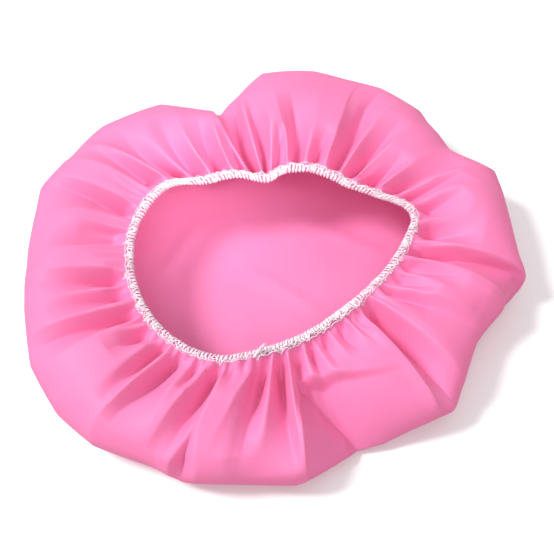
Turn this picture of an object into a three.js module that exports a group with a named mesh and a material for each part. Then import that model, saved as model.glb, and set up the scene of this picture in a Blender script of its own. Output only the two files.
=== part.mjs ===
// A gathered shower cap, lying crown down with its elastic opening upwards.
// Millimetres and degrees. +Z is up, the resting surface is z = 0, and the origin lies under the
// middle of the cap. Angles run counter-clockwise from +X, seen from above.
import * as THREE from "three";

// Cloth: one round blank, laid out as crown, side and gathered ruffle
const FABRIC_WALL = 0.8;
const RIM_RADIUS = 140;
const HEM_RADIUS = 65;
const BASE_INSET = 16;
const RIM_HEIGHT = 23;
const RIM_TILT = 5;
const CREST_HEIGHT = 47;
const CREST_TILT = 6;
const CREST_REACH = 30;
const HEM_HEIGHT = 43;
const HEM_TILT = 3;
const SHOULDER_TURN = 50;
const SIDE_TURN = 40;

// Folds: the elastic draws the blank's edge in, and the spare cloth sinks in valleys that run out from
// the hem. They are deepest at one distance from the hem, and have turned aside at another.
const FOLD_FULL = 15;
const FOLD_DRIFT_END = 65;

// Hem: a flat band of cloth with the elastic under it and an overlock seam round both
const NEEDLE_INSET = 4.4;
const BAND_MARGIN = 1.6;
const ELASTIC_WIDTH = 3.6;
const ELASTIC_THICKNESS = 0.8;
const ELASTIC_END_GAP = 0.6;
const THREAD_DIAMETER = 0.5;
const STITCH_PITCH = 4.8;
const SEAM_END_ANGLE = 261;
const SEAM_LAP = 58;
const LAP_RAMP = 9;
const TAIL_LENGTH = 7;
const SEAM_CLEARANCE = 0.3;

// The widest line of the lying cap, as [angle, distance outside the rim radius]
const RIM_OUTLINE = [
  [0, 1], [10, 1], [24, 6], [35, -9], [50, 2], [62, 4], [80, 3], [94, 0], [109, -28], [124, -4],
  [140, 5], [155, 4], [163, 10], [180, 5], [195, 8], [208, 15], [220, 17], [230, 15], [241, 8], [250, 8],
  [262, 1], [277, 0], [288, -7], [298, -9], [315, -3], [325, -11], [334, -14], [343, -9], [354, 4],
];

// The edge of the opening, as [angle, distance outside the hem radius]
const HEM_OUTLINE = [
  [0, 8], [10, 14], [16, 12], [26, 0], [40, -10], [55, -13], [70, -15], [85, -20], [97, -26],
  [106, -24], [120, -16], [135, -10], [141, -5], [150, 7], [165, 13], [185, 17], [220, 21],
  [235, 21], [248, 18], [262, 9], [280, 1], [300, -5], [315, -6], [330, -4], [345, 1],
];

// The main valleys: [angle at the hem, degrees it turns aside, reach, depth, flank ahead, flank behind]
const FOLDS = [
  [4, -5, 45, 9, 10, 10], [13, 5, 38, 9, 9, 9], [20, 4, 52, 9, 8, 9], [26, 1, 64, 7, 6, 7],
  [34, 7, 45, 12, 16, 5], [46, 3, 66, 11, 11, 8], [55, 6, 95, 12, 14, 8], [67, 3, 40, 9, 7, 6],
  [77, 9, 66, 11, 10, 8], [87, 5, 45, 10, 6, 6], [96, 4, 74, 14, 12, 8], [107, -1, 85, 18, 14, 12],
  [115, -4, 50, 10, 7, 6], [126, -8, 58, 12, 10, 8], [137, -7, 66, 11, 11, 8], [144, -3, 74, 14, 12, 7],
  [152, -2, 60, 10, 9, 6], [168, -4, 66, 9, 10, 5], [180, 4, 52, 6, 8, 8], [198, -5, 58, 8, 10, 8],
  [205, -4, 56, 7, 8, 6], [213, -5, 76, 9, 10, 7], [229, -1, 56, 7, 5, 3], [236, -4, 64, 9, 10, 7],
  [242, -1, 40, 8, 7, 6], [248, -2, 64, 10, 9, 7], [254, -3, 90, 9, 13, 8], [266, -3, 90, 9, 6, 15],
  [273, -1, 84, 9, 6, 9], [278, -1, 56, 8, 6, 7], [284, 4, 44, 8, 6, 6], [291, 2, 50, 8, 6, 6],
  [300, 2, 85, 9, 6, 6], [311, 1, 70, 10, 20, 6], [320, -1, 52, 8, 7, 7], [330, 4, 70, 7, 9, 9],
  [345, 0, 46, 8, 7, 7], [354, -1, 90, 12, 4, 15],
];

const PINK = 0xff8fc8;
const WHITE = 0xf7f2f6;

const FULL_TURN = 360;
const COLUMNS = 2 * FOLDS.length;
const THREAD_RADIUS = THREAD_DIAMETER / 2;
const THREAD_SIDES = 4;
const HEM_BAND = NEEDLE_INSET + BAND_MARGIN;

const radians = THREE.MathUtils.degToRad;

// Returns radius as a smooth function of angle, from a closed outline round a middle radius.
function outline(points, middleRadius) {
  const count = points.length;
  const at = (k) => {
    const lap = Math.floor(k / count);
    const [angle, radius] = points[k - lap * count];
    return [angle + lap * FULL_TURN, radius];
  };
  const slope = (k) => (at(k + 1)[1] - at(k - 1)[1]) / (at(k + 1)[0] - at(k - 1)[0]);
  return (angle) => {
    const wrapped = THREE.MathUtils.euclideanModulo(angle, FULL_TURN);
    const k = points.findLastIndex((point) => point[0] <= wrapped);
    const [[a0, r0], [a1, r1]] = [at(k), at(k + 1)];
    const span = a1 - a0;
    const t = (wrapped - a0) / span;
    const rise = 3 * t ** 2 - 2 * t ** 3;
    const leave = t * (1 - t) ** 2 * span * slope(k);
    const arrive = t ** 2 * (t - 1) * span * slope(k + 1);
    return middleRadius + r0 + (r1 - r0) * rise + leave + arrive;
  };
}

const rimRadius = outline(RIM_OUTLINE, RIM_RADIUS);
const hemRadius = outline(HEM_OUTLINE, HEM_RADIUS);

// A point of the cap in polar form.
function polar(angle, radius, height) {
  const turn = radians(angle);
  return new THREE.Vector3(radius * Math.cos(turn), radius * Math.sin(turn), height);
}

// Heights lean towards the back, where the ruffle stands higher.
const leaning = (height, tilt) => (angle) => height + tilt * Math.sin(radians(angle));
const hemHeight = leaning(HEM_HEIGHT, HEM_TILT);
const crestHeight = leaning(CREST_HEIGHT, CREST_TILT);
const rimHeight = leaning(RIM_HEIGHT, RIM_TILT);

// The section between hem and crest, a distance out from the hem edge.
function innerSlope(angle, out) {
  const left = 1 - out / CREST_REACH;
  const climb = crestHeight(angle) - hemHeight(angle);
  return polar(angle, hemRadius(angle) + out, hemHeight(angle) + climb * (1 - left ** 2));
}

// The section between crest and rim, a quarter ellipse; turn is 0 at the crest and 90 at the rim.
function shoulder(angle, turn) {
  const crest = hemRadius(angle) + CREST_REACH;
  const out = (rimRadius(angle) - crest) * Math.sin(radians(turn));
  const drop = (crestHeight(angle) - rimHeight(angle)) * (1 - Math.cos(radians(turn)));
  return polar(angle, crest + out, crestHeight(angle) - drop);
}

// The section between rim and surface, a quarter ellipse; turn is 0 at the rim and 90 at the base.
function underside(angle, turn) {
  const inset = BASE_INSET * (1 - Math.cos(radians(turn)));
  return polar(angle, rimRadius(angle) - inset, rimHeight(angle) * (1 - Math.sin(radians(turn))));
}

// Columns of the cloth, two to a fold: its valley, and the ridge where its flank meets the next fold's flank.
function makeFoldColumns() {
  return FOLDS.flatMap(([angle, drift, reach, depth, ahead], i) => {
    const [nextAngle, nextDrift, , , , behind] = FOLDS[(i + 1) % FOLDS.length];
    const apart = THREE.MathUtils.euclideanModulo(nextAngle - angle, FULL_TURN);
    const share = ahead / (ahead + behind);
    const valley = { angle, drift, depth, reach };
    const ridgeDrift = THREE.MathUtils.lerp(drift, nextDrift, share);
    const ridge = { angle: angle + apart * share, drift: ridgeDrift, depth: 0, reach };
    return [valley, ridge];
  });
}

// Places along the hem edge, one to a column: the point, the way out across the band, and its upper side.
function makeHemStations() {
  return makeFoldColumns().map((column) => {
    const { angle } = column;
    const step = FULL_TURN / COLUMNS;
    const edge = innerSlope(angle, 0);
    const tangent = innerSlope(angle + step, 0).sub(innerSlope(angle - step, 0)).normalize();
    const outwards = innerSlope(angle, HEM_BAND).sub(edge);
    const upper = outwards.clone().cross(tangent).normalize();
    const across = tangent.clone().cross(upper).normalize();
    return { ...column, edge, across, upper };
  });
}

const hemStations = makeHemStations();

// Running length along the hem edge up to each station, with the whole length at the end.
const hemLengths = hemStations.reduce(
  (lengths, station, i) => {
    const next = hemStations[(i + 1) % COLUMNS];
    return [...lengths, lengths[i] + station.edge.distanceTo(next.edge)];
  },
  [0],
);
const HEM_LENGTH = hemLengths[COLUMNS];

// A point beside the hem edge: a running length, a distance out across the band and a lift above it.
function besideHem(length, out, lift) {
  const wrapped = THREE.MathUtils.euclideanModulo(length, HEM_LENGTH);
  const i = hemLengths.findLastIndex((start) => start <= wrapped) % COLUMNS;
  const share = (wrapped - hemLengths[i]) / (hemLengths[i + 1] - hemLengths[i]);
  const [from, to] = [hemStations[i], hemStations[(i + 1) % COLUMNS]];
  const across = from.across.clone().lerp(to.across, share);
  const upper = from.upper.clone().lerp(to.upper, share);
  return from.edge.clone().lerp(to.edge, share).addScaledVector(across, out).addScaledVector(upper, lift);
}

// One column of the cloth's outer face, from the hem edge to the surface. It turns aside on its way out, and
// sinks below the smooth section, most near the hem and not at all past its reach.
function clothColumn({ angle, drift, depth, reach, edge, across }) {
  const section = (turned) => [
    edge.clone(),
    edge.clone().addScaledVector(across, HEM_BAND),
    innerSlope(turned, FOLD_FULL),
    shoulder(turned, 0),
    shoulder(turned, SHOULDER_TURN),
    shoulder(turned, 90),
    underside(turned, SIDE_TURN),
    underside(turned, 90),
  ];
  const straight = section(angle);
  let run = 0;
  return straight.map((point, j) => {
    run += j === 0 ? 0 : point.distanceTo(straight[j - 1]);
    const turned = angle + drift * Math.min(run / FOLD_DRIFT_END, 1);
    const rows = section(turned);
    if (j < 2 || j === rows.length - 1) return rows[j];
    const outwards = polar(turned, 1, 0);
    const slope = rows[j + 1].clone().sub(rows[j - 1]);
    const inwards = outwards.clone().multiplyScalar(slope.z).setZ(-slope.dot(outwards)).normalize();
    return rows[j].addScaledVector(inwards, depth * Math.max(1 - (run / reach) ** 2, 0));
  });
}

// Indexed triangles as a geometry.
function geometryOf(points, triangles) {
  const geometry = new THREE.BufferGeometry().setFromPoints(points);
  geometry.setIndex(triangles);
  geometry.computeVertexNormals();
  return geometry;
}

// The cloth as a closed shell: an outer face, an inner face one wall inside it, and the hem edge between.
function makeCloth() {
  const columns = hemStations.map(clothColumn);
  const rows = columns[0].length;
  const crown = new THREE.Vector3(0, 0, 0);
  const outer = [...columns.flat(), crown];
  const at = (i, j) => (i % COLUMNS) * rows + j;
  const faces = [];
  for (let i = 0; i < COLUMNS; i++) {
    for (let j = 0; j < rows - 1; j++) {
      faces.push([at(i, j), at(i, j + 1), at(i + 1, j + 1)], [at(i, j), at(i + 1, j + 1), at(i + 1, j)]);
    }
    faces.push([at(i, rows - 1), outer.length - 1, at(i + 1, rows - 1)]);
  }
  const normals = geometryOf(outer, faces.flat()).getAttribute("normal");
  const inner = outer.map((point, k) => {
    const normal = new THREE.Vector3().fromBufferAttribute(normals, k);
    return point.clone().addScaledVector(normal, -FABRIC_WALL);
  });
  const inside = outer.length;
  const lining = faces.map(([a, b, c]) => [a + inside, c + inside, b + inside]);
  const edge = hemStations.flatMap((_, i) => {
    const [a, b] = [at(i, 0), at(i + 1, 0)];
    return [[a, b, b + inside], [a, b + inside, a + inside]];
  });
  return geometryOf([...outer, ...inner], [...faces, ...lining, ...edge].flat());
}

// A closed solid through a row of alike sections, with flat ends.
function loft(sections) {
  const sides = sections[0].length;
  const triangles = [];
  for (let k = 0; k < sections.length - 1; k++) {
    for (let i = 0; i < sides; i++) {
      const [a, b] = [k * sides + i, k * sides + ((i + 1) % sides)];
      triangles.push(a, b, b + sides, a, b + sides, a + sides);
    }
  }
  const last = (sections.length - 1) * sides;
  for (let i = 1; i < sides - 1; i++) {
    triangles.push(0, i + 1, i, last, last + i, last + i + 1);
  }
  return geometryOf(sections.flat(), triangles);
}

// A thread along a line of points, its section square to the line and level with the hem's band.
function thread(line) {
  const sections = line.map(({ point, upper }, k) => {
    const before = line[Math.max(k - 1, 0)].point;
    const after = line[Math.min(k + 1, line.length - 1)].point;
    const ahead = after.clone().sub(before).normalize();
    const side = upper.clone().cross(ahead).normalize();
    const top = ahead.clone().cross(side);
    return Array.from({ length: THREAD_SIDES }, (_, i) => {
      const turn = (2 * Math.PI * i) / THREAD_SIDES;
      const reach = side.clone().multiplyScalar(THREAD_RADIUS * Math.cos(turn));
      return point.clone().add(reach).addScaledVector(top, THREAD_RADIUS * Math.sin(turn));
    });
  });
  return loft(sections);
}

// The seam runs clockwise, once round and on over its own start, where the second pass lies on the first.
const seamEnd = hemLengths[hemStations.findLastIndex((station) => station.angle <= SEAM_END_ANGLE)];
const SEAM_TRAVEL = HEM_LENGTH + SEAM_LAP;
const seamPlace = (travel) => seamEnd + SEAM_LAP - travel;

// How far the second pass is lifted off the first.
function lapLift(travel) {
  const share = THREE.MathUtils.smoothstep(travel, HEM_LENGTH - LAP_RAMP, HEM_LENGTH);
  return share * (THREAD_DIAMETER + SEAM_CLEARANCE);
}

// A point of the seam on one side of the hem: side is 1 above the cloth and -1 below the elastic.
function seamPoint(travel, out, side) {
  const cover = side > 0 ? 0 : FABRIC_WALL + SEAM_CLEARANCE + ELASTIC_THICKNESS;
  const lift = cover + SEAM_CLEARANCE + THREAD_RADIUS + lapLift(travel);
  const place = seamPlace(travel);
  const point = besideHem(place, out, side * lift);
  const upper = besideHem(place, out, 1).sub(besideHem(place, out, 0));
  return { point, upper };
}

// A looper thread: it swings between the needle line and just past the hem edge, once each stitch.
function looperLine(side) {
  const stitches = Math.floor(SEAM_TRAVEL / STITCH_PITCH);
  const inner = NEEDLE_INSET - THREAD_DIAMETER - SEAM_CLEARANCE;
  const swing = [[0.1, inner], [0.4, -THREAD_DIAMETER], [0.6, -THREAD_DIAMETER], [0.9, inner]];
  const stitch = (k) => swing.map(([share, out]) => seamPoint((k + share) * STITCH_PITCH, out, side));
  return Array.from({ length: stitches }, (_, k) => stitch(k)).flat();
}

// The needle thread: a straight line along the band that ends in a short tail standing over the opening.
function needleLine() {
  const steps = Math.floor(SEAM_TRAVEL / STITCH_PITCH);
  const line = Array.from({ length: steps }, (_, k) => seamPoint(k * STITCH_PITCH, NEEDLE_INSET, 1));
  const { point, upper } = seamPoint(SEAM_TRAVEL, NEEDLE_INSET, 1);
  const inwards = seamPoint(SEAM_TRAVEL, -NEEDLE_INSET, 1).point.sub(point).normalize();
  const rising = upper.clone().add(inwards).normalize();
  const turn = point.clone().addScaledVector(upper, THREAD_DIAMETER);
  const tip = turn.clone().addScaledVector(rising, TAIL_LENGTH);
  return [...line, { point: turn, upper: rising }, { point: tip, upper: rising }];
}

// The elastic: a flat band under the cloth, its two ends meeting under the lapped stitches.
function makeElastic() {
  const start = seamEnd + SEAM_LAP / 2 + ELASTIC_END_GAP / 2;
  const end = start + HEM_LENGTH - ELASTIC_END_GAP;
  const laps = [0, HEM_LENGTH];
  const corners = laps.flatMap((lap) => hemLengths.slice(0, COLUMNS).map((length) => length + lap));
  const between = corners.filter((length) => length > start && length < end);
  const top = -(FABRIC_WALL + SEAM_CLEARANCE);
  const bottom = top - ELASTIC_THICKNESS;
  const near = SEAM_CLEARANCE;
  const far = near + ELASTIC_WIDTH;
  const section = [[near, top], [far, top], [far, bottom], [near, bottom]];
  const sectionAt = (length) => section.map(([out, lift]) => besideHem(length, out, lift));
  return loft([start, ...between, end].map(sectionAt));
}

// A named sub-part with its finish.
function part(name, geometry, color, roughness) {
  const mesh = new THREE.Mesh(geometry, new THREE.MeshStandardMaterial({ color, roughness, metalness: 0 }));
  mesh.name = name;
  return mesh;
}

const cap = new THREE.Group();
cap.add(
  part("cap_fabric", makeCloth(), PINK, 0.55),
  part("hem_elastic", makeElastic(), WHITE, 0.8),
  part("needle_thread", thread(needleLine()), WHITE, 0.85),
  part("upper_looper_thread", thread(looperLine(1)), WHITE, 0.85),
  part("lower_looper_thread", thread(looperLine(-1)), WHITE, 0.85),
);

// The origin lies under the middle of the whole cap.
const middle = new THREE.Box3().setFromObject(cap).getCenter(new THREE.Vector3());
cap.position.set(-middle.x, -middle.y, 0);

export default cap;
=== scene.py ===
"""A pink gathered shower cap lying crown down: cloth, elastic and overlock seam."""
import math

import bpy
import numpy as np
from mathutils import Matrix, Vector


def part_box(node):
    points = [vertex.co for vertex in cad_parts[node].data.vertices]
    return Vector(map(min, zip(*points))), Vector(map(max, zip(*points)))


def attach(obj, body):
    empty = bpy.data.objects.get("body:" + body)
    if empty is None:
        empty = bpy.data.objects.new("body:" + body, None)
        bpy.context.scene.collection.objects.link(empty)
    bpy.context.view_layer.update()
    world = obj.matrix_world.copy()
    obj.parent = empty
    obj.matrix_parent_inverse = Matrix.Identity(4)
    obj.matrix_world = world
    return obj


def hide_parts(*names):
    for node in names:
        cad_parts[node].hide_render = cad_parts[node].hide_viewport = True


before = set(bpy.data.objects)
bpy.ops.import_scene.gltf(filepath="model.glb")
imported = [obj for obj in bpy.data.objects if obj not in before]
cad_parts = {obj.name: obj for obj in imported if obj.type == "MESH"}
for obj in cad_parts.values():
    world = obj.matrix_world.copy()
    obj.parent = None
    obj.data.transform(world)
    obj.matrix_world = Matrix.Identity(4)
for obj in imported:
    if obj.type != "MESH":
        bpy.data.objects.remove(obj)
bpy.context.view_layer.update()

MM = 0.001

# Outlines of the cap in millimetres and degrees. Angles run counter-clockwise from +X, seen from above.
RIM_OUTLINE = [
    (0, 141), (10, 141), (24, 146), (35, 131), (50, 142), (62, 144), (80, 143), (94, 140),
    (109, 112), (124, 136), (140, 145), (155, 144), (163, 150), (180, 145), (195, 148),
    (208, 155), (220, 157), (230, 155), (241, 148), (250, 148), (262, 141), (277, 140),
    (288, 133), (298, 131), (315, 137), (325, 129), (334, 126), (343, 131), (354, 144),
]
HEM_OUTLINE = [
    (0, 73), (10, 79), (16, 77), (26, 65), (40, 55), (55, 52), (70, 50), (85, 45), (97, 39),
    (106, 41), (120, 49), (135, 55), (141, 60), (150, 72), (165, 78), (185, 82), (220, 86),
    (235, 86), (248, 83), (262, 74), (280, 66), (300, 60), (315, 59), (330, 61), (345, 66),
]
# Share of straight lines in the rim, the rest of it being a smooth curve
FACETS = 0.7
BASE_INSET = 16

# Heights in millimetres. A tilt is how much higher the back is than the middle.
RIM_HEIGHT, RIM_TILT = 23, 5
CREST_HEIGHT, CREST_TILT, CREST_REACH = 47, 6, 30
HEM_HEIGHT, HEM_TILT = 43, 3
# The crest stands higher and further out at the left, more and more between two shares of the way left
LEFT_CREST_LIFT, LEFT_CREST_REACH = 3, 7
LEFT_CREST_FROM, LEFT_CREST_FULL = 0.45, 0.95

# Crown: its rise off the floor, as a mean share and waves of (share, x and y per radian, phase)
CROWN_RISE, CROWN_MEAN = 3.5, 0.5
CROWN_WAVES = [(0.3, 34, 50, 1), (0.2, -60, 25, 2)]
CROWN_FLAT_EDGE = 0.3
# Creases in the crown: both ends, and their height and half width
CROWN_CREASES = [
    ((-44, 48), (-76, -10)), ((-22, 8), (30, -28)), ((12, 44), (66, 16)), ((-30, -60), (10, -48)),
]
CROWN_CREASE_HEIGHT, CROWN_CREASE_WIDTH = 1.3, 7

# Grid of the cloth: columns around, rows from the hem to the middle of the crown.
# The two powers crowd the rows at the hem and at the crown's edge.
COLUMNS = 900
RUFFLE_ROWS, SIDE_ROWS, CROWN_ROWS = 70, 16, 48
SECTION_STEPS = 80
RUFFLE_CROWDING, CROWN_CROWDING = 1.25, 0.9

# Main folds, as valleys: angle at the hem, angle at the far end, reach, depth,
# width ahead of the valley, width behind it, and how late the valley fades
VALLEYS = [
    (4, 359, 45, 11, 10, 10, 0), (13, 18, 38, 11, 9, 9, 0), (20, 24, 52, 11, 8, 9, 0),
    (26, 27, 64, 9, 6, 7, 0), (34, 41, 40, 14, 16, 5, 0.3), (46, 49, 66, 14, 11, 8, 0),
    (55, 61, 88, 14, 14, 8, 0), (67, 70, 34, 11, 7, 6, 0), (77, 86, 66, 13, 10, 8, 0),
    (87, 92, 40, 12, 6, 6, 0), (96, 100, 74, 15, 12, 8, 0.2), (107, 106, 80, 20, 14, 12, 0.8),
    (115, 111, 46, 12, 7, 6, 0), (126, 118, 54, 14, 10, 8, 0), (137, 130, 64, 13, 11, 8, 0),
    (144, 141, 72, 16, 12, 7, 0), (152, 150, 58, 12, 9, 6, 0), (168, 164, 66, 11, 10, 5, 0),
    (180, 184, 50, 8, 8, 8, 0), (198, 193, 56, 10, 10, 8, 0), (205, 201, 54, 9, 8, 6, 0),
    (213, 208, 76, 11, 10, 7, 0), (222, 217, 34, 9, 6, 6, 0), (229, 228, 54, 9, 5, 3, 0),
    (236, 232, 62, 11, 10, 7, 0.3), (242, 241, 26, 6, 6, 6, 0), (249, 246, 66, 13, 6, 11, 0.3),
    (255, 253, 24, 6, 5, 5, 0), (260, 259, 22, 5, 5, 5, 0), (265, 262, 62, 16, 4, 15, 0),
    (271, 274, 76, 16, 6, 8, 0), (278, 277, 52, 10, 6, 7, 0), (284, 288, 40, 8, 6, 6, 0),
    (291, 293, 30, 7, 6, 6, 0), (300, 302, 28, 7, 6, 6, 0), (310, 311, 24, 6, 5, 5, 0),
    (319, 315, 90, 19, 6, 17, 0.3), (330, 334, 70, 6, 9, 9, 0), (338, 338, 34, 7, 6, 6, 0),
    (345, 345, 46, 7, 7, 7, 0), (354, 353, 96, 12, 4, 15, 0.6),
]
FOLD_NEAR_WIDTH, FOLD_START, FOLD_FULL = 4, 3.5, 12
# Valleys are cut wider and deeper than listed, since the cloth evens out after that
VALLEY_WIDENING, VALLEY_DEEPENING = 1.5, 1.3
VALLEY_FADE = 2
# How far from the hem the folds go on turning aside
DRIFT_END = 65

# Small folds at the hem: mean step, and the ranges of uneven steps, reach, depth and width
SMALL_STEP = 5.6
SMALL_UNEVEN, SMALL_REACH, SMALL_DEPTH, SMALL_WIDTH = (0.6, 1.4), (14, 38), (1.8, 3.4), (2.5, 4)
SMALL_NEAR_WIDTH, SMALL_START, SMALL_FULL = 2.2, 1, 7

# Wedges that open towards the rim: angle, distance from the hem where they start, depth,
# width ahead and width behind
WEDGES = [(252, 40, 9, 7, 5)]
WEDGE_FULL, WEDGE_END = 68, 88
WEDGE_THINNEST = 0.1

# Creases of the stiff cloth: at each distance from the hem, the step from crease to crease and their height
CREASES = [(0, 6, 0), (14, 7, 1.0), (34, 12, 1.7), (60, 20, 2.2), (90, 28, 1.6), (112, 30, 0)]
CREASE_UNEVEN = (0.4, 1.6)

# The flap at the lower right: its edge as (angle, distance from the hem, drop). Beyond the edge the cloth
# hangs straight to a foot near the floor. It hangs deepest along a line of (distance from the hem, angle),
# and rises from there to both sides.
FLAP_EDGE = [(274, 18, 6), (279, 23, 12), (284, 27, 14), (291, 32, 10), (304, 44, 6), (312, 50, 3)]
FLAP_BEND_BEFORE, FLAP_BEND_AFTER = 1, 3
FLAP_FOOT, FLAP_FOOT_INSET, FLAP_FOOT_HEIGHT = 86, 6.5, 3
FLAP_VALLEY = [(24, 279.5), (60, 284), (84, 288)]
FLAP_SIDES = (276.5, 310)

# Evening of the folded cloth. The hold on its place grows with the distance from the hem.
RELAX_ROUNDS = 24
PINNED_ROWS = 3
HOLD_AT_HEM, HOLD_AT_RIM, HOLD_FROM, HOLD_TO = 0.02, 0.2, 20, 60
STRETCH, SHEAR, BEND, MOMENTUM = 1.0, 0.3, 0.01, 0.85
FLOOR_GAP = 0.3

# Seam: an overlock of three threads over the hem. It starts and ends in a lap.
SEAM_END_ANGLE = 261
SEAM_LAP, LAP_RAMP, LAP_LIFT = 58, 9, 0.8
STITCH_PITCH, STITCH_STEPS = 2.1, 12
HEM_ROWS = 10
LOOP_REACH, LOOP_LEAN, EDGE_OVERHANG = 3.4, 0.75, 0.4
# Where in its swing, from -1 at the edge to 1 at the needle line, a loop has left the edge
WRAP_END = -0.5
PLY_RADIUS, PLY_FLATNESS, THREAD_SIDES = 0.17, 1.3, 6
UPPER_PLIES, UPPER_LIFT, UPPER_LOOSE = 3, 0.35, 0.75
LOWER_PLIES, LOWER_GAP, LOWER_LOOSE = 2, 0.4, 0.4
# What looseness does to a loop's reach, its distance from the edge, its place along the hem and its lift
LOOSE_REACH, LOOSE_DISTANCE, LOOSE_PLACE, LOOSE_LIFT = 0.3, 0.35, 0.5, 0.5
NEEDLE_INSET, NEEDLE_WANDER, NEEDLE_RADIUS = 4.4, 0.12, 0.24
NEEDLE_RISE, NEEDLE_ARCH, NEEDLE_SINK = 0.45, 0.6, 0.1
TAIL_LENGTH, TAIL_LENGTHS, TAIL_PLIES, TAIL_STEPS, TAIL_TURNS = 11, (0.62, 0.95), 7, 28, 1.6
TAIL_LIFT, TAIL_SPREAD, TAIL_TAPER, TAIL_FRAY = 0.4, 0.55, 0.35, (0.1, 0.9)

# Elastic: a flat band under the cloth's edge
ELASTIC_WIDTH, ELASTIC_THICKNESS, ELASTIC_END_GAP = 3.6, 0.8, 0.6
ELASTIC_DEPTH, ELASTIC_INSET = 1.3, 0.3
ELASTIC_STEPS, ELASTIC_SIDES = 700, 16
# Power of a section's corners: 1 is an oval, less is nearer to a rectangle
OVAL, FLAT_BAND = 1, 0.45

# Cloth as a material
BLANK_DIAMETER = 470
CLOTH_THICKNESS = 0.25
CLOTH_PINK = (1.0, 0.33, 0.655)
CLOTH_PINK_DEEP = (1.0, 0.315, 0.635)
CLOTH_PINK_PALE = (1.0, 0.345, 0.675)
CLOTH_TONE_SCALE = 30
CLOTH_THROUGH = (1.0, 0.74, 0.8)
CLOTH_THINNESS = 0.55
CLOTH_ROUGHNESS, CLOTH_SHEEN, CLOTH_SHEEN_ROUGHNESS, CLOTH_GLOSS = 0.5, 0.12, 0.4, 0.35
CRINKLE_SCALE, CRINKLE_HEIGHT, CRINKLE_STRENGTH = 110, 1.2, 0.25
WEAVE_SPACING, WEAVE_HEIGHT, WEAVE_STRENGTH = 0.45, 0.04, 0.3

# Thread and elastic as materials
THREAD_WHITE = (0.86, 0.75, 0.8)
THREAD_WHITE_DEEP = (0.82, 0.63, 0.71)
THREAD_WHITE_PALE = (0.9, 0.82, 0.86)
THREAD_TONE_SCALE = 900
THREAD_ROUGHNESS, THREAD_SHEEN = 0.8, 0.25
TWIST_LENGTH, TWIST_STRANDS, TWIST_HEIGHT, TWIST_STRENGTH = 0.8, 2, 0.08, 0.5
ELASTIC_WHITE = (0.83, 0.82, 0.83)
ELASTIC_WHITE_DEEP = (0.74, 0.71, 0.72)
ELASTIC_WHITE_PALE = (0.86, 0.85, 0.85)
ELASTIC_TONE_SCALE = 400
ELASTIC_ROUGHNESS = 0.75
ELASTIC_RIBS, BRAID_LENGTH, BRAID_HEIGHT, BRAID_STRENGTH = 16, 0.9, 0.2, 0.6
NOISE_DETAIL = 3
TONE_START, TONE_END = 0.3, 0.7
# A wave texture at scale 1 turns by this many radians in one unit
WAVE_TURN = 20

# Floor: half width and drop in millimetres, its grey as seen and as the cap is lit by it
FLOOR_HALF, FLOOR_DROP = 3000, 0.5
FLOOR_SEEN, FLOOR_LIT, FLOOR_ROUGHNESS = 0.9, 0.5, 0.8

# Camera, in degrees and millimetres
CAMERA_AZIMUTH, CAMERA_ELEVATION, CAMERA_DISTANCE = -90, 55, 714
CAMERA_TARGET = (0, -13, 22)
CAMERA_LENS, CAMERA_SENSOR = 80, 36

# Suns: azimuth, elevation and spread in degrees, and strength
SUNS = [("key", 176, 48, 18, 3.2), ("top", 50, 70, 80, 0.6), ("front", 268, 54, 30, 0.95)]
# A weak round lamp that shines in at the opening
INNER_TARGET, INNER_DISTANCE, INNER_WIDTH = (-60, 55, 10), 350, 60
INNER_AZIMUTH, INNER_ELEVATION, INNER_SPREAD, INNER_POWER = 320, 42, 26, 0.022
SKY_STRENGTH, SKY_SEEN = 0.38, 1.0

RANDOM_SEED = 7
rng = np.random.default_rng(RANDOM_SEED)


def around(outline, angles):
    """Radius at each angle on a smooth closed line through the outline's (angle, radius) points."""
    angle, radius = np.array(outline, float).T
    angle = np.concatenate([angle[-2:] - 360, angle, angle[:2] + 360])
    radius = np.concatenate([radius[-2:], radius, radius[:2]])
    slope = np.gradient(radius)
    slope[1:-1] = (radius[2:] - radius[:-2]) / (angle[2:] - angle[:-2])
    wrapped = np.mod(angles, 360)
    k = np.clip(np.searchsorted(angle, wrapped, side="right") - 1, 1, len(angle) - 3)
    span = angle[k + 1] - angle[k]
    t = (wrapped - angle[k]) / span
    rise = 3 * t**2 - 2 * t**3
    leave = t * (1 - t) ** 2 * span * slope[k]
    arrive = t**2 * (t - 1) * span * slope[k + 1]
    return radius[k] + (radius[k + 1] - radius[k]) * rise + leave + arrive


def chords(outline, angles):
    """Radius at each angle on the straight lines between the outline's points."""
    angle, radius = np.array(outline + [(outline[0][0] + 360, outline[0][1])], float).T
    turn = np.radians(angle)
    x, y = radius * np.cos(turn), radius * np.sin(turn)
    k = np.clip(np.searchsorted(angle, angles, side="right") - 1, 0, len(outline) - 1)
    across = x[k] * y[k + 1] - x[k + 1] * y[k]
    way = np.radians(angles)
    return across / (np.cos(way) * (y[k + 1] - y[k]) - np.sin(way) * (x[k + 1] - x[k]))


def smooth(value, start, end):
    """0 before start, 1 after end, and an even ease between them."""
    t = np.clip((value - start) / (end - start), 0, 1)
    return t * t * (3 - 2 * t)


def column_angles(count):
    """The angle of each of a grid's columns."""
    return np.arange(count) * 360 / count


def arc_from(angles, angle, radius):
    """How far each point lies past an angle, along its own circle."""
    return np.radians((angles - angle + 180) % 360 - 180) * radius


def even_rows(radius, height, shares):
    """Resamples each section polyline at shares of its own length."""
    step = np.hypot(np.diff(radius, axis=1), np.diff(height, axis=1))
    run = np.concatenate([np.zeros((len(step), 1)), np.cumsum(step, axis=1)], axis=1)
    rows = [np.interp(shares * r[-1], r, np.arange(len(r))) for r in run]
    low = np.clip(np.floor(rows).astype(int), 0, radius.shape[1] - 2)
    part = rows - low

    def between(values):
        return np.take_along_axis(values, low, 1) * (1 - part) + np.take_along_axis(values, low + 1, 1) * part

    return between(radius), between(height), shares[None] * run[:, -1:]


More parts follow.
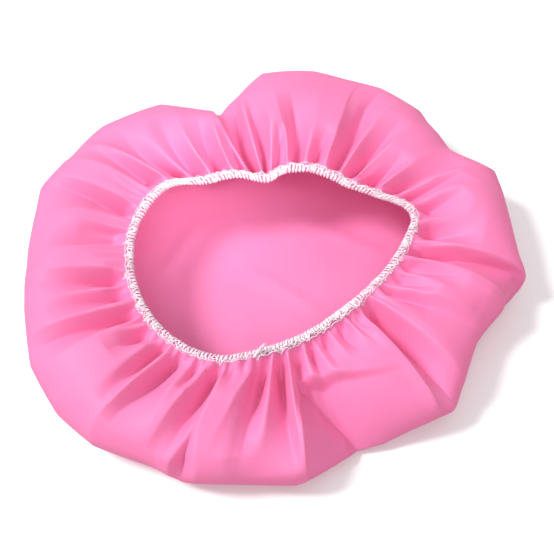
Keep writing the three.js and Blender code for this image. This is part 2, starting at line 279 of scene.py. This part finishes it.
def crown_creases(x, y):
    """Height of the straight creases in the crown, sharp along the middle and fading at both ends."""
    height = np.zeros(x.shape)
    for (x0, y0), (x1, y1) in CROWN_CREASES:
        length = math.hypot(x1 - x0, y1 - y0)
        along = ((x - x0) * (x1 - x0) + (y - y0) * (y1 - y0)) / length**2
        across = ((x - x0) * (y1 - y0) - (y - y0) * (x1 - x0)) / length
        ends = np.clip(4 * along * (1 - along), 0, 1)
        height += CROWN_CREASE_HEIGHT * ends * np.clip(1 - np.abs(across) / CROWN_CREASE_WIDTH, 0, 1)
    return height


def crown_height(radius, angles, out):
    """Height of the crown off the floor: slow waves and creases, flat at its edge."""
    turn = np.radians(angles)[:, None]
    x, y = radius * np.cos(turn), radius * np.sin(turn)
    waves = CROWN_MEAN
    for share, x_length, y_length, phase in CROWN_WAVES:
        waves = waves + share * np.sin(x / x_length + y / y_length + phase)
    return (CROWN_RISE * waves + crown_creases(x, y)) * smooth(1 - out[None], 0, CROWN_FLAT_EDGE)


def fold_drift(angles):
    """How far the folds turn aside on their way out."""
    hem, far = np.array(VALLEYS, float).T[:2]
    return np.interp(angles, hem, (far - hem + 180) % 360 - 180, period=360)


def base_surface():
    """The smooth cap: points, and each point's distance from the hem along its section."""
    angles = column_angles(COLUMNS)
    lean = np.sin(np.radians(angles))[:, None]
    left = smooth(-np.cos(np.radians(angles)), LEFT_CREST_FROM, LEFT_CREST_FULL)[:, None]
    hem = around(HEM_OUTLINE, angles)[:, None]
    rim = (FACETS * chords(RIM_OUTLINE, angles) + (1 - FACETS) * around(RIM_OUTLINE, angles))[:, None]
    reach = CREST_REACH + LEFT_CREST_REACH * left
    crest = hem + reach
    hem_z = HEM_HEIGHT + HEM_TILT * lean
    crest_z = CREST_HEIGHT + CREST_TILT * lean + LEFT_CREST_LIFT * left
    rim_z = RIM_HEIGHT + RIM_TILT * lean
    t = np.linspace(0, 1, SECTION_STEPS)[None]
    quarter = t * math.pi / 2
    slope_r = hem + reach * t
    slope_z = hem_z + (crest_z - hem_z) * (1 - (1 - t) ** 2)
    shoulder_r = crest + (rim - crest) * np.sin(quarter)
    shoulder_z = rim_z + (crest_z - rim_z) * np.cos(quarter)
    side_r = rim - BASE_INSET * (1 - np.cos(quarter))
    side_z = rim_z * (1 - np.sin(quarter))
    ruffle = even_rows(
        np.hstack([slope_r, shoulder_r[:, 1:]]),
        np.hstack([slope_z, shoulder_z[:, 1:]]),
        np.linspace(0, 1, RUFFLE_ROWS) ** RUFFLE_CROWDING,
    )
    side = even_rows(side_r, side_z, np.linspace(0, 1, SIDE_ROWS + 1)[1:])
    out = (1 - np.linspace(0, 1, CROWN_ROWS + 1)[1:]) ** CROWN_CROWDING
    crown_r = (rim - BASE_INSET) * out[None]
    radius = np.hstack([ruffle[0], side[0], crown_r])
    height = np.hstack([ruffle[1], side[1], crown_height(crown_r, angles, out)])
    run = np.hstack([ruffle[2], ruffle[2][:, -1:] + side[2]])
    run = np.hstack([run, run[:, -1:] + (rim - BASE_INSET) * (1 - out[None])])
    turned = angles[:, None] + fold_drift(angles)[:, None] * np.minimum(run / DRIFT_END, 1)
    full_turn = np.concatenate([angles, [360]])
    for values in (radius, height, run):
        for j in range(values.shape[1]):
            closed = np.append(values[:, j], values[0, j])
            values[:, j] = np.interp(np.mod(turned[:, j], 360), full_turn, closed)
    turn = np.radians(turned)
    points = np.stack([radius * np.cos(turn), radius * np.sin(turn), height], axis=2)
    return points, run


def outer_normals(points):
    """Unit normals of a grid that is closed around and open from hem to crown."""
    around_step = np.roll(points, -1, axis=0) - np.roll(points, 1, axis=0)
    along_step = np.gradient(points, axis=1)
    normal = np.cross(along_step, around_step)
    size = np.linalg.norm(normal, axis=2, keepdims=True)
    return normal / np.maximum(size, 1e-9)


def hem_run(points):
    """Running length along the hem at each column and, last, its whole length."""
    step = np.linalg.norm(np.roll(points[:, 0], -1, axis=0) - points[:, 0], axis=1)
    return np.concatenate([[0], np.cumsum(step)])


def fold_depth(points, run, valleys, near_width, start, full):
    """How far a set of valleys sinks below the smooth cap; where two meet, the deeper one holds."""
    angles = column_angles(len(run))[:, None]
    radius = np.hypot(points[..., 0], points[..., 1])
    total = np.zeros(run.shape)
    for hem_angle, _, reach, depth, ahead, behind, late in valleys:
        share = np.clip(run / reach, 0, 1)
        off = arc_from(angles, hem_angle, radius)
        wide = np.where(off > 0, ahead, behind)
        width = near_width + (VALLEY_WIDENING * wide - near_width) * share
        fade = 1 - share ** (VALLEY_FADE + late)
        strength = VALLEY_DEEPENING * depth * smooth(run, start, full) * fade
        total += (strength * np.clip(1 - np.abs(off) / width, 0, 1)) ** 3
    return np.cbrt(total)


def small_valleys(points):
    """Short valleys along the hem, at uneven steps of a few millimetres."""
    places = hem_run(points)
    length = places[-1]
    place = np.cumsum(rng.uniform(*SMALL_UNEVEN, round(length / SMALL_STEP)))
    hem_angles = np.interp(place / place[-1] * length, places[:-1], column_angles(COLUMNS))
    valleys = []
    for angle in hem_angles:
        reach = rng.uniform(*SMALL_REACH)
        depth = rng.uniform(*SMALL_DEPTH)
        ahead = rng.uniform(*SMALL_WIDTH)
        behind = rng.uniform(*SMALL_WIDTH)
        valleys.append((angle, angle, reach, depth, ahead, behind, 0))
    return valleys


def wedge_depth(points, run):
    """How far the wedges sink: nothing where they start, most near the rim, nothing at the crown."""
    angles = column_angles(len(run))[:, None]
    radius = np.hypot(points[..., 0], points[..., 1])
    total = np.zeros(run.shape)
    for angle, start, depth, ahead, behind in WEDGES:
        share = np.clip((run - start) / (WEDGE_FULL - start), 0, 1)
        off = arc_from(angles, angle, radius)
        width = np.maximum(np.where(off > 0, ahead, behind) * share, WEDGE_THINNEST)
        strength = depth * share * (1 - smooth(run, WEDGE_FULL, WEDGE_END))
        total = np.maximum(total, strength * np.clip(1 - np.abs(off) / width, 0, 1))
    return total


def crease_height(points, run):
    """Flat facets between creases at random places: how far each point sinks below the smooth cloth."""
    angles = column_angles(len(run))
    radius = np.hypot(points[..., 0], points[..., 1]).mean(axis=0)
    rings = []
    for distance, step, height in CREASES:
        ring_length = 2 * math.pi * np.interp(distance, run.mean(axis=0), radius)
        place = np.cumsum(rng.uniform(*CREASE_UNEVEN, round(ring_length / step)))
        corner_angles = place / place[-1] * 360
        corner_heights = rng.uniform(-1, 1, len(place))
        rings.append(height * np.interp(angles, corner_angles, corner_heights, period=360))
    distances = [distance for distance, _, _ in CREASES]
    where = np.interp(run, distances, np.arange(len(distances)))
    low = np.minimum(where.astype(int), len(rings) - 2)
    column = np.arange(len(run))[:, None]
    rings = np.array(rings)
    return rings[low, column] * (low + 1 - where) + rings[low + 1, column] * (where - low)


def at_distances(distances, run, line):
    """Points of a line at distances along it."""
    return np.stack([np.interp(distances, run, line[:, k]) for k in range(3)], axis=-1)


def hang_below_flap(points, run):
    """Lets the cloth beyond the flap's edge hang straight down to its foot, and turn in under it."""
    angles = column_angles(len(run))
    edge_angle, edge_distance, edge_drop = np.array(FLAP_EDGE, float).T
    valley_distance, valley_angle = np.array(FLAP_VALLEY, float).T
    left, right = FLAP_SIDES
    for i in np.flatnonzero((angles > left) & (angles < right)):
        edge = np.interp(angles[i], edge_angle, edge_distance)
        top, foot = at_distances((edge, FLAP_FOOT), run[i], points[i])
        top[2] -= np.interp(angles[i], edge_angle, edge_drop)
        foot[:2] *= 1 - FLAP_FOOT_INSET / np.hypot(*foot[:2])
        foot[2] = FLAP_FOOT_HEIGHT
        stations = np.array([top, foot, points[i, -1]])
        hung = at_distances(run[i], (edge, FLAP_FOOT, run[i, -1]), stations)
        deepest = np.interp(run[i], valley_distance, valley_angle)
        depth = np.minimum((angles[i] - left) / (deepest - left), (right - angles[i]) / (right - deepest))
        within = smooth(run[i], edge - FLAP_BEND_BEFORE, edge + FLAP_BEND_AFTER) * depth
        points[i] += (hung - points[i]) * within[:, None]


def pull(a, b, rest, share_a, share_b, stiffness):
    """Moves two sets of points towards their rest distance."""
    apart = b - a
    length = np.sqrt(np.einsum("ijk,ijk->ij", apart, apart)) + 1e-6
    shift_by = apart * (stiffness * (length - rest) / length)[..., None]
    a += shift_by * share_a
    b -= shift_by * share_b


def relax(folded, hold):
    """Evens the folded cloth: it keeps its lengths and its place, bends stiffly and stays off the floor."""
    beside = np.roll(folded, -1, axis=0)
    spans = (
        beside - folded,
        np.diff(folded, axis=1),
        beside[:, 1:] - folded[:, :-1],
        beside[:, :-1] - folded[:, 1:],
    )
    rests = [np.linalg.norm(span, axis=2).astype(np.float32) for span in spans]
    rest_around, rest_along, rest_down, rest_up = rests
    free = np.ones(folded.shape[1])
    free[:PINNED_ROWS] = 0
    free[-1] = 0
    pair = np.maximum(free[:-1] + free[1:], 1)
    shares = (free, free / 2, free[:-1] / pair, free[1:] / pair)
    move, same, upper, lower = (share[None, :, None].astype(np.float32) for share in shares)
    hold = (hold[..., None] * free[None, :, None]).astype(np.float32)
    goal = folded.astype(np.float32)
    now = goal.copy()
    before = goal.copy()
    neighbours = [
        (slice(0, None, 2), slice(1, None, 2)),
        (slice(1, -1, 2), slice(2, None, 2)),
        (slice(-1, None), slice(0, 1)),
    ]
    for _ in range(RELAX_ROUNDS):
        ahead = now + (now - before) * (MOMENTUM * move)
        before = now
        now = ahead
        now += (goal - now) * hold
        for i, j in neighbours:
            pull(now[i], now[j], rest_around[i], same, same, STRETCH)
        for first in (0, 1):
            j = slice(first + 1, None, 2)
            i = slice(first, first + 2 * now[:, j].shape[1] - 1, 2)
            pull(now[:, i], now[:, j], rest_along[:, i], upper[:, i], lower[:, i], STRETCH)
        for i, j in neighbours:
            pull(now[i, :-1], now[j, 1:], rest_down[i], upper, lower, SHEAR)
            pull(now[i, 1:], now[j, :-1], rest_up[i], lower, upper, SHEAR)
        bend = (np.roll(now, 1, axis=0) + np.roll(now, -1, axis=0)) / 2 - now
        bend = (np.roll(bend, 1, axis=0) + np.roll(bend, -1, axis=0)) / 2 - bend
        now -= bend * (BEND * move)
        along = np.zeros_like(now)
        along[:, 1:-1] = (now[:, :-2] + now[:, 2:]) / 2 - now[:, 1:-1]
        bend = np.zeros_like(now)
        bend[:, 2:-2] = (along[:, 1:-3] + along[:, 3:-1]) / 2 - along[:, 2:-2]
        now -= bend * (BEND * move)
        np.maximum(now[..., 2], FLOOR_GAP, out=now[..., 2])
    return now.astype(float)


def piece_of(name, vertices, faces, coordinates):
    """A smooth-shaded piece from points in millimetres, with a UV map in metres."""
    mesh = bpy.data.meshes.new(name)
    mesh.from_pydata((vertices * MM).tolist(), [], faces)
    mesh.polygons.foreach_set("use_smooth", [True] * len(mesh.polygons))
    mesh.uv_layers.new(name="lay").uv.foreach_set("vector", coordinates.ravel())
    piece = bpy.data.objects.new(name, mesh)
    bpy.context.collection.objects.link(piece)
    return piece


def cloth_mesh(name, points, run):
    """A mesh over the grid, with one point at the middle of the crown, laid out on the flat blank."""
    columns, rows = points.shape[:2]
    vertices = np.vstack([points[:, :-1].reshape(-1, 3), points[:, -1].mean(axis=0)])
    turn = np.radians(column_angles(columns))[:, None]
    out = BLANK_DIAMETER / 2 * (1 - run[:, :-1] / run[:, -1:])
    lay = np.stack([out * np.cos(turn), out * np.sin(turn)], axis=2).reshape(-1, 2)
    lay = np.vstack([lay, (0, 0)]) * MM
    i = np.arange(columns)[:, None]
    j = np.arange(rows - 2)[None]
    a = i * (rows - 1) + j
    b = ((i + 1) % columns) * (rows - 1) + j
    quads = np.stack([a, a + 1, b + 1, b], axis=2).reshape(-1, 4)
    last = np.arange(columns) * (rows - 1) + rows - 2
    fan = np.stack([last, np.full(columns, len(vertices) - 1), np.roll(last, -1)], axis=1)
    corners = np.concatenate([quads.ravel(), fan.ravel()])
    return piece_of(name, vertices, quads.tolist() + fan.tolist(), lay[corners])


def beside_hem(grid, place, distance, lift):
    """Points at a length along the hem, a distance in from its edge and a height off the outer face."""
    where = np.interp(np.mod(place, hem_length), hem_places, np.arange(COLUMNS + 1))
    column = np.floor(where).astype(int)
    part = (where - column)[:, None]
    left, right = column % COLUMNS, (column + 1) % COLUMNS
    row = np.interp(np.maximum(distance, 0), near_hem, np.arange(HEM_ROWS))
    low = np.minimum(np.floor(row).astype(int), HEM_ROWS - 2)
    share = (row - low)[:, None]
    blends = []
    for values in (grid, outer_normals(grid)):
        near_row = values[left, low] * (1 - part) + values[right, low] * part
        far_row = values[left, low + 1] * (1 - part) + values[right, low + 1] * part
        blends.append(near_row * (1 - share) + far_row * share)
    point, upper = blends
    upper /= np.linalg.norm(upper, axis=1, keepdims=True)
    outwards = grid[left, 0] - grid[left, 1]
    outwards /= np.linalg.norm(outwards, axis=1, keepdims=True)
    point = point + outwards * np.maximum(-distance, 0)[:, None] + upper * lift[:, None]
    return point, upper


def scatter(stitches, amount):
    """A random value for each stitch, eased from one to the next, at every step of the seam."""
    steps = np.arange(stitches * STITCH_STEPS) / STITCH_STEPS
    return np.interp(steps, np.arange(stitches) + 0.5, rng.normal(0, amount, stitches))


def seam_travel():
    """The number of stitches, and at every step the length sewn and the lift over the seam's own start."""
    stitches = int((hem_length + SEAM_LAP) / STITCH_PITCH)
    travel = np.arange(stitches * STITCH_STEPS) * STITCH_PITCH / STITCH_STEPS
    return stitches, travel, LAP_LIFT * smooth(travel, hem_length - LAP_RAMP, hem_length)


def looper_ply(grid, side, face_lift, loose):
    """One ply of a looper thread: it swings between the needle line and the hem edge, which it wraps."""
    stitches, travel, lap = seam_travel()
    phase = 2 * math.pi * travel / STITCH_PITCH + scatter(stitches, loose)
    swing = -np.cos(phase)
    reach = LOOP_REACH + EDGE_OVERHANG
    distance = (swing + 1) / 2 * reach * (1 + scatter(stitches, LOOSE_REACH * loose)) - EDGE_OVERHANG
    distance += scatter(stitches, LOOSE_DISTANCE * loose)
    place = seam_end + SEAM_LAP - travel + LOOP_LEAN * np.sin(phase) + scatter(stitches, LOOSE_PLACE * loose)
    lift = face_lift + side * (lap + np.abs(scatter(stitches, LOOSE_LIFT * loose)))
    edge_lift = -ELASTIC_DEPTH / 2 + side * lap / 2
    lift = edge_lift + (lift - edge_lift) * smooth(swing, -1, WRAP_END)
    return beside_hem(grid, place, distance, lift)


def needle_ply(grid):
    """The needle thread: short stitches along the band, each dipping into the cloth at its end."""
    stitches, travel, lap = seam_travel()
    dip = np.abs(np.sin(math.pi * travel / STITCH_PITCH))
    place = seam_end + SEAM_LAP - travel
    distance = NEEDLE_INSET + scatter(stitches, NEEDLE_WANDER)
    return beside_hem(grid, place, distance, NEEDLE_RISE * dip**NEEDLE_ARCH - NEEDLE_SINK + lap)


def tail_plies(grid):
    """The thread ends at the seam's end: a short twisted chain that stands over the opening and frays."""
    ends = np.array([seam_end, seam_end])
    lifts = np.array([TAIL_LIFT, TAIL_LIFT])
    (foot, inner), upper = beside_hem(grid, ends, np.array([NEEDLE_INSET, 0]), lifts)
    upper = upper[0]
    inwards = (inner - foot) / np.linalg.norm(inner - foot)
    rising = (upper + inwards) / np.linalg.norm(upper + inwards)
    across = np.cross(rising, upper)
    across /= np.linalg.norm(across)
    over = np.cross(across, rising)
    share = np.linspace(0, 1, TAIL_STEPS)[:, None]
    plies = []
    for k in range(TAIL_PLIES):
        turn = 2 * math.pi * (TAIL_TURNS * share + k / TAIL_PLIES)
        spread = TAIL_SPREAD * (1 - TAIL_TAPER * share) + rng.uniform(*TAIL_FRAY) * share**3
        length = TAIL_LENGTH * rng.uniform(*TAIL_LENGTHS)
        line = foot + rising * length * share + (across * np.cos(turn) + over * np.sin(turn)) * spread
        plies.append((line, np.tile(over, (len(line), 1))))
    return plies


def tubes(name, lines, width, height, sides, corner):
    """One mesh of closed threads along lines of points, level with the lines' upper directions."""
    turn = np.arange(sides) * 2 * math.pi / sides
    wide = width * np.sign(np.cos(turn)) * np.abs(np.cos(turn)) ** corner
    tall = height * np.sign(np.sin(turn)) * np.abs(np.sin(turn)) ** corner
    vertices, faces, coordinates = [], [], []
    first = 0
    for line, upper in lines:
        ahead = np.gradient(line, axis=0)
        ahead /= np.linalg.norm(ahead, axis=1, keepdims=True)
        side = np.cross(upper, ahead)
        side /= np.linalg.norm(side, axis=1, keepdims=True)
        top = np.cross(ahead, side)
        ring = line[:, None] + side[:, None] * wide[None, :, None] + top[:, None] * tall[None, :, None]
        step = np.linalg.norm(np.diff(line, axis=0), axis=1)
        along = np.concatenate([[0], np.cumsum(step)])
        k, i = np.meshgrid(np.arange(len(line) - 1), np.arange(sides), indexing="ij")
        here, there = k * sides, (k + 1) * sides
        after = (i + 1) % sides
        quads = np.stack([here + i, here + after, there + after, there + i], axis=2)
        near, far = along[k], along[k + 1]
        low, high = i / sides, (i + 1) / sides
        corners = np.stack([near, low, near, high, far, high, far, low], axis=2).reshape(-1, 2)
        last = (len(line) - 1) * sides
        faces += (quads.reshape(-1, 4) + first).tolist()
        faces.append([first + n for n in range(sides)][::-1])
        faces.append([first + last + n for n in range(sides)])
        ends = np.repeat([[along[0], 0.5], [along[-1], 0.5]], sides, axis=0)
        coordinates.append(np.vstack([corners, ends]))
        vertices.append(ring.reshape(-1, 3))
        first += ring.shape[0] * sides
    return piece_of(name, np.vstack(vertices), faces, np.vstack(coordinates) * MM)


def new_material(name, colour, roughness):
    """A material of one colour, with its nodes, its links and its main shader."""
    material = bpy.data.materials.new(name)
    material.use_nodes = True
    nodes = material.node_tree.nodes
    shader = nodes["Principled BSDF"]
    shader.inputs["Base Color"].default_value = (*colour, 1)
    shader.inputs["Roughness"].default_value = roughness
    return material, nodes, material.node_tree.links, shader


def noise(nodes, links, source, scale):
    """Soft random spots over the surface."""
    texture = nodes.new("ShaderNodeTexNoise")
    texture.inputs["Scale"].default_value = scale
    texture.inputs["Detail"].default_value = NOISE_DETAIL
    links.new(source, texture.inputs["Vector"])
    return texture.outputs["Fac"]


def varied_colour(nodes, links, shader, source, scale, dark, light):
    """Lets the colour drift between two tones over the surface."""
    tones = nodes.new("ShaderNodeValToRGB")
    first, last = tones.color_ramp.elements
    first.position, first.color = TONE_START, (*dark, 1)
    last.position, last.color = TONE_END, (*light, 1)
    links.new(noise(nodes, links, source, scale), tones.inputs["Fac"])
    links.new(tones.outputs["Color"], shader.inputs["Base Color"])


def bands(nodes, links, source, direction, spacing):
    """Even waves across the UV map, one to each spacing."""
    wave = nodes.new("ShaderNodeTexWave")
    wave.bands_direction = direction
    wave.inputs["Scale"].default_value = 2 * math.pi / WAVE_TURN / (spacing * MM)
    links.new(source, wave.inputs["Vector"])
    return wave.outputs["Fac"]


def raised(nodes, links, shader, height, distance, strength, under=None):
    """Fine relief on a shader, on top of another relief if there is one under it."""
    bump = nodes.new("ShaderNodeBump")
    bump.inputs["Distance"].default_value = distance * MM
    bump.inputs["Strength"].default_value = strength
    links.new(height, bump.inputs["Height"])
    if under is not None:
        links.new(under, bump.inputs["Normal"])
    links.new(bump.outputs["Normal"], shader.inputs["Normal"])
    return bump.outputs["Normal"]


def calculate(nodes, links, operation, first, second):
    """The result of one sum on two values, each a number or the output of a node."""
    step = nodes.new("ShaderNodeMath")
    step.operation = operation
    for value, socket in zip((first, second), step.inputs):
        if isinstance(value, (int, float)):
            socket.default_value = value
        else:
            links.new(value, socket)
    return step.outputs[0]


def cloth_material():
    """Thin pink plain-woven cloth: a fine weave, small crinkles, a soft sheen, and light coming through."""
    material, nodes, links, shader = new_material("cap_cloth_pink", CLOTH_PINK, CLOTH_ROUGHNESS)
    shader.inputs["Sheen Weight"].default_value = CLOTH_SHEEN
    shader.inputs["Sheen Roughness"].default_value = CLOTH_SHEEN_ROUGHNESS
    shader.inputs["Specular IOR Level"].default_value = CLOTH_GLOSS
    lay = nodes.new("ShaderNodeTexCoord")
    spots = lay.outputs["Object"]
    varied_colour(nodes, links, shader, spots, CLOTH_TONE_SCALE, CLOTH_PINK_DEEP, CLOTH_PINK_PALE)
    crinkle = noise(nodes, links, spots, CRINKLE_SCALE)
    crinkled = raised(nodes, links, shader, crinkle, CRINKLE_HEIGHT, CRINKLE_STRENGTH)
    warp = bands(nodes, links, lay.outputs["UV"], "X", WEAVE_SPACING)
    weft = bands(nodes, links, lay.outputs["UV"], "Y", WEAVE_SPACING)
    weave = calculate(nodes, links, "MULTIPLY", warp, weft)
    raised(nodes, links, shader, weave, WEAVE_HEIGHT, WEAVE_STRENGTH, crinkled)
    through = nodes.new("ShaderNodeBsdfTranslucent")
    through.inputs["Color"].default_value = (*CLOTH_THROUGH, 1)
    mix = nodes.new("ShaderNodeMixShader")
    mix.inputs[0].default_value = CLOTH_THINNESS
    links.new(shader.outputs[0], mix.inputs[1])
    links.new(through.outputs[0], mix.inputs[2])
    links.new(mix.outputs[0], nodes["Material Output"].inputs["Surface"])
    return material


def thread_material():
    """Fluffy white sewing thread, its plies twisted."""
    material, nodes, links, shader = new_material("sewing_thread_white", THREAD_WHITE, THREAD_ROUGHNESS)
    shader.inputs["Sheen Weight"].default_value = THREAD_SHEEN
    lay = nodes.new("ShaderNodeTexCoord")
    spots = lay.outputs["Object"]
    varied_colour(nodes, links, shader, spots, THREAD_TONE_SCALE, THREAD_WHITE_DEEP, THREAD_WHITE_PALE)
    parts = nodes.new("ShaderNodeSeparateXYZ")
    links.new(lay.outputs["UV"], parts.inputs[0])
    along = calculate(nodes, links, "MULTIPLY", parts.outputs["X"], 2 * math.pi / (TWIST_LENGTH * MM))
    about = calculate(nodes, links, "MULTIPLY", parts.outputs["Y"], 2 * math.pi * TWIST_STRANDS / MM)
    turned = calculate(nodes, links, "ADD", along, about)
    twist = calculate(nodes, links, "SINE", turned, 0)
    raised(nodes, links, shader, twist, TWIST_HEIGHT, TWIST_STRENGTH)
    return material


def elastic_material():
    """White braided elastic: ribs along the band, crossed by the steps of the braid."""
    material, nodes, links, shader = new_material("elastic_braid_white", ELASTIC_WHITE, ELASTIC_ROUGHNESS)
    lay = nodes.new("ShaderNodeTexCoord")
    spots = lay.outputs["Object"]
    varied_colour(nodes, links, shader, spots, ELASTIC_TONE_SCALE, ELASTIC_WHITE_DEEP, ELASTIC_WHITE_PALE)
    ribs = bands(nodes, links, lay.outputs["UV"], "Y", 1 / ELASTIC_RIBS)
    braid = bands(nodes, links, lay.outputs["UV"], "X", BRAID_LENGTH)
    relief = calculate(nodes, links, "ADD", ribs, braid)
    raised(nodes, links, shader, relief, BRAID_HEIGHT, BRAID_STRENGTH)
    return material


def floor_material():
    """A white floor to the camera, and a greyer one to the light that it throws back."""
    material, nodes, links, shader = new_material("floor_white", (FLOOR_SEEN,) * 3, FLOOR_ROUGHNESS)
    tone = nodes.new("ShaderNodeMix")
    tone.data_type = "RGBA"
    tone.inputs["A"].default_value = (FLOOR_LIT, FLOOR_LIT, FLOOR_LIT, 1)
    tone.inputs["B"].default_value = (FLOOR_SEEN, FLOOR_SEEN, FLOOR_SEEN, 1)
    rays = nodes.new("ShaderNodeLightPath")
    links.new(rays.outputs["Is Camera Ray"], tone.inputs["Factor"])
    links.new(tone.outputs["Result"], shader.inputs["Base Color"])
    return material


def add_floor():
    """A large level floor just under the cap."""
    half = FLOOR_HALF * MM
    mesh = bpy.data.meshes.new("floor")
    corners = [(-half, -half, 0), (half, -half, 0), (half, half, 0), (-half, half, 0)]
    mesh.from_pydata(corners, [], [(0, 1, 2, 3)])
    mesh.materials.append(floor_material())
    floor = bpy.data.objects.new("floor", mesh)
    floor.location.z = -FLOOR_DROP * MM
    bpy.context.collection.objects.link(floor)


def towards(azimuth, elevation):
    """The turn of a lamp or camera that points in from an azimuth and an elevation."""
    return math.radians(90 - elevation), 0, math.radians(azimuth + 90)


def off_target(target, azimuth, elevation, distance):
    """The place in metres at a distance from a target, both in millimetres."""
    level = distance * math.cos(math.radians(elevation))
    return (
        (target[0] + level * math.cos(math.radians(azimuth))) * MM,
        (target[1] + level * math.sin(math.radians(azimuth))) * MM,
        (target[2] + distance * math.sin(math.radians(elevation))) * MM,
    )


def add_camera(shift):
    """The camera in front of the cap, which looks down on it."""
    data = bpy.data.cameras.new("camera")
    data.lens = CAMERA_LENS
    data.sensor_width = CAMERA_SENSOR
    camera = bpy.data.objects.new("camera", data)
    camera.location = off_target(CAMERA_TARGET + shift, CAMERA_AZIMUTH, CAMERA_ELEVATION, CAMERA_DISTANCE)
    camera.rotation_euler = towards(CAMERA_AZIMUTH, CAMERA_ELEVATION)
    bpy.context.collection.objects.link(camera)
    bpy.context.scene.camera = camera


def add_sun(name, azimuth, elevation, spread, strength):
    """A far lamp that lights everything from one side."""
    data = bpy.data.lights.new(name, "SUN")
    data.angle = math.radians(spread)
    data.energy = strength
    lamp = bpy.data.objects.new(name, data)
    lamp.rotation_euler = towards(azimuth, elevation)
    bpy.context.collection.objects.link(lamp)


def add_inner_lamp():
    """A narrow lamp for the left of the crown, which the cap's own side keeps dark."""
    data = bpy.data.lights.new("inside", "AREA")
    data.shape = "DISK"
    data.size = INNER_WIDTH * MM
    data.spread = math.radians(INNER_SPREAD)
    data.energy = INNER_POWER
    lamp = bpy.data.objects.new("inside", data)
    lamp.location = off_target(INNER_TARGET, INNER_AZIMUTH, INNER_ELEVATION, INNER_DISTANCE)
    lamp.rotation_euler = towards(INNER_AZIMUTH, INNER_ELEVATION)
    lamp.visible_camera = False
    bpy.context.collection.objects.link(lamp)


def add_sky():
    """An even sky: white where it is seen, weaker where it lights."""
    world = bpy.data.worlds.new("world")
    world.use_nodes = True
    nodes, links = world.node_tree.nodes, world.node_tree.links
    background = nodes["Background"]
    background.inputs["Color"].default_value = (1, 1, 1, 1)
    rays = nodes.new("ShaderNodeLightPath")
    seen = calculate(nodes, links, "MAXIMUM", rays.outputs["Is Camera Ray"], rays.outputs["Is Glossy Ray"])
    strength = nodes.new("ShaderNodeMapRange")
    strength.inputs["To Min"].default_value = SKY_STRENGTH
    strength.inputs["To Max"].default_value = SKY_SEEN
    links.new(seen, strength.inputs["Value"])
    links.new(strength.outputs[0], background.inputs["Strength"])
    bpy.context.scene.world = world


# Cloth: the smooth cap, its folds, and the evening of them
points, run = base_surface()
even_points = points.copy()
sewn = RUFFLE_ROWS + SIDE_ROWS
smooth_cap, near = points[:, :sewn], run[:, :sewn]
sunk = fold_depth(smooth_cap, near, VALLEYS, FOLD_NEAR_WIDTH, FOLD_START, FOLD_FULL)
sunk += fold_depth(smooth_cap, near, small_valleys(smooth_cap), SMALL_NEAR_WIDTH, SMALL_START, SMALL_FULL)
sunk += wedge_depth(smooth_cap, near) + crease_height(smooth_cap, near)
folded = smooth_cap - outer_normals(smooth_cap) * sunk[..., None]
hang_below_flap(folded, near)
folded[..., 2] = np.maximum(folded[..., 2], FLOOR_GAP)
hold = HOLD_AT_HEM + (HOLD_AT_RIM - HOLD_AT_HEM) * smooth(near, HOLD_FROM, HOLD_TO)
points[:, :sewn] = relax(folded, hold)
points[..., 2] = np.maximum(points[..., 2], 0)

# The hem's middle goes where the elastic's middle is
cad_low, cad_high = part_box("hem_elastic")
hem_low, hem_high = points[:, 0].min(axis=0), points[:, 0].max(axis=0)
shift = (np.array(cad_low) + np.array(cad_high)) / 2 / MM - (hem_low + hem_high) / 2
shift[2] = 0
points = points + shift

cloth = cloth_mesh("gathered_cloth", points, run)
cloth.data.materials.append(cloth_material())
wall = cloth.modifiers.new("wall", "SOLIDIFY")
wall.thickness = CLOTH_THICKNESS * MM
wall.offset = -1
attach(cloth, "root")
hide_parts("cap_fabric")

# Edge of the cloth, as it is gathered and as it would be without folds
hem_places = hem_run(points)
hem_length = hem_places[-1]
near_hem = run[0, :HEM_ROWS]
seam_end = np.interp(SEAM_END_ANGLE, np.arange(COLUMNS + 1) * 360 / COLUMNS, hem_places)
gathered_edge = points[:, :HEM_ROWS]
even_edge = (even_points + shift)[:, :HEM_ROWS]

# Elastic
band_start = seam_end + SEAM_LAP / 2 + ELASTIC_END_GAP / 2
band_place = np.linspace(band_start, band_start + hem_length - ELASTIC_END_GAP, ELASTIC_STEPS)
band_middle = np.full(ELASTIC_STEPS, ELASTIC_WIDTH / 2 + ELASTIC_INSET)
band = beside_hem(even_edge, band_place, band_middle, np.full(ELASTIC_STEPS, -ELASTIC_DEPTH))
elastic = tubes("elastic_band", [band], ELASTIC_WIDTH / 2, ELASTIC_THICKNESS / 2, ELASTIC_SIDES, FLAT_BAND)
elastic.data.materials.append(elastic_material())
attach(elastic, "root")
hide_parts("hem_elastic")

# Seam
under_lift = -ELASTIC_DEPTH - ELASTIC_THICKNESS / 2 - LOWER_GAP
upper_plies = [looper_ply(gathered_edge, 1, UPPER_LIFT, UPPER_LOOSE) for _ in range(UPPER_PLIES)]
lower_plies = [looper_ply(even_edge, -1, under_lift, LOWER_LOOSE) for _ in range(LOWER_PLIES)]
needle_plies = [needle_ply(gathered_edge), *tail_plies(gathered_edge)]
ply_width = PLY_RADIUS * PLY_FLATNESS
seam_threads = [
    ("needle_stitches", "needle_thread", needle_plies, NEEDLE_RADIUS, NEEDLE_RADIUS),
    ("upper_looper", "upper_looper_thread", upper_plies, ply_width, PLY_RADIUS),
    ("lower_looper", "lower_looper_thread", lower_plies, ply_width, PLY_RADIUS),
]
white_thread = thread_material()
for name, node, plies, width, height in seam_threads:
    piece = tubes(name, plies, width, height, THREAD_SIDES, OVAL)
    piece.data.materials.append(white_thread)
    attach(piece, "root")
    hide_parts(node)

# Floor, camera and light
add_floor()
add_camera(shift)
for sun in SUNS:
    add_sun(*sun)
add_inner_lamp()
add_sky()
bpy.context.scene.view_settings.view_transform = "Standard"
